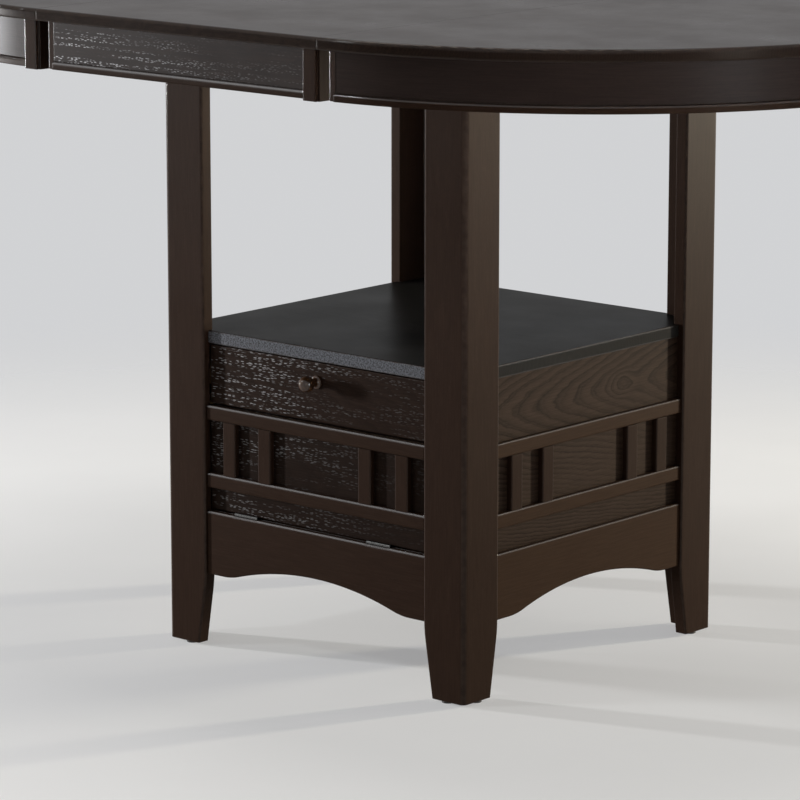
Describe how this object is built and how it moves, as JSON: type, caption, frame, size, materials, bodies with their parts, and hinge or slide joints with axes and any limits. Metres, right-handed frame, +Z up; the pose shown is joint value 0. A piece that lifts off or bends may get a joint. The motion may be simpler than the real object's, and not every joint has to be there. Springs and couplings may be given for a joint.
{
  "type": "kitchen table with storage cabinet",
  "caption": "Counter-height oval dining table with a lift-out leaf on a square storage base with an open shelf, a drawer and a drop-down door.",
  "frame": {"origin": "on the floor under the middle of the base", "axes": "+Z up, +X along the length of the top, drawer and door face -Y"},
  "size_m": [1.5666, 1.0668, 0.9144],
  "materials": {
    "espresso_wood": "satin",
    "panel_veneer": "satin",
    "top_veneer": "gloss",
    "knob_wood": "gloss",
    "raw_hardwood": "matte",
    "raw_ply": "matte",
    "hinge_steel": "satin",
    "zinc_steel": "satin",
    "glide_plastic": "matte",
    "catch_plastic": "matte"
  },
  "bodies": {
    "base": {"leg_front_right": "espresso_wood", "leg_front_left": "espresso_wood", "leg_back_right": "espresso_wood", "leg_back_left": "espresso_wood", "foot_glides": "glide_plastic", "cabinet_top": "top_veneer", "cabinet_bottom": "espresso_wood", "panel_right": "panel_veneer", "panel_left": "panel_veneer", "panel_back": "panel_veneer", "drawer_divider": "raw_ply", "arched_rail_front": "espresso_wood", "arched_rail_back": "espresso_wood", "arched_rail_right": "espresso_wood", "arched_rail_left": "espresso_wood", "lattice_rails_right": "espresso_wood", "lattice_rails_left": "espresso_wood", "lattice_rails_back": "espresso_wood", "lattice_slats_right": "espresso_wood", "lattice_slats_left": "espresso_wood", "lattice_slats_back": "espresso_wood", "frame_rails_long": "espresso_wood", "frame_rails_cross": "espresso_wood", "frame_corner_blocks": "espresso_wood", "frame_bolts": "zinc_steel", "slide_cores": "raw_hardwood", "drawer_runner_right": "raw_hardwood", "drawer_runner_left": "raw_hardwood", "door_catch": "catch_plastic", "hinge_fixed_leaves": "hinge_steel", "hinge_pins": "hinge_steel"},
    "drawer": {"drawer_front": "panel_veneer", "drawer_side_right": "raw_hardwood", "drawer_side_left": "raw_hardwood", "drawer_back": "raw_hardwood", "drawer_bottom": "raw_ply", "drawer_knob": "knob_wood", "knob_screw": "zinc_steel"},
    "door": {"door_panel": "panel_veneer", "door_rails": "espresso_wood", "door_slats": "espresso_wood", "hinge_moving_leaves": "hinge_steel", "door_strike": "zinc_steel"},
    "right_half": {"top_right": "top_veneer", "apron_right": "panel_veneer", "apron_strip_right": "espresso_wood", "end_blocks_right": "espresso_wood", "slide_runners_right": "raw_hardwood", "alignment_pins_right": "raw_hardwood"},
    "left_half": {"top_left": "top_veneer", "apron_left": "panel_veneer", "apron_strip_left": "espresso_wood", "end_blocks_left": "espresso_wood", "slide_runners_left": "raw_hardwood", "alignment_pins_left": "raw_hardwood"},
    "leaf": {"leaf": "top_veneer", "leaf_aprons": "panel_veneer", "leaf_apron_strips": "espresso_wood", "leaf_end_blocks": "espresso_wood", "leaf_cleats": "raw_hardwood"}
  },
  "joints": [
    {"name": "drawer_slide", "type": "slide", "parent": "base", "child": "drawer", "axis": [0, -1, 0], "range_m": [0, 0.3]},
    {"name": "door_hinge", "type": "hinge", "parent": "base", "child": "door", "pos_m": [0, -0.2631, 0.1969], "axis": [1, 0, 0], "range_deg": [0, 90]},
    {"name": "right_half_slide", "type": "slide", "parent": "base", "child": "right_half", "axis": [1, 0, 0], "range_m": [0, 0.06]},
    {"name": "left_half_slide", "type": "slide", "parent": "base", "child": "left_half", "axis": [-1, 0, 0], "range_m": [0, 0.06]},
    {"name": "leaf_lift", "type": "slide", "parent": "base", "child": "leaf", "axis": [0, 0, 1], "range_m": [0, 0.15]}
  ]
}
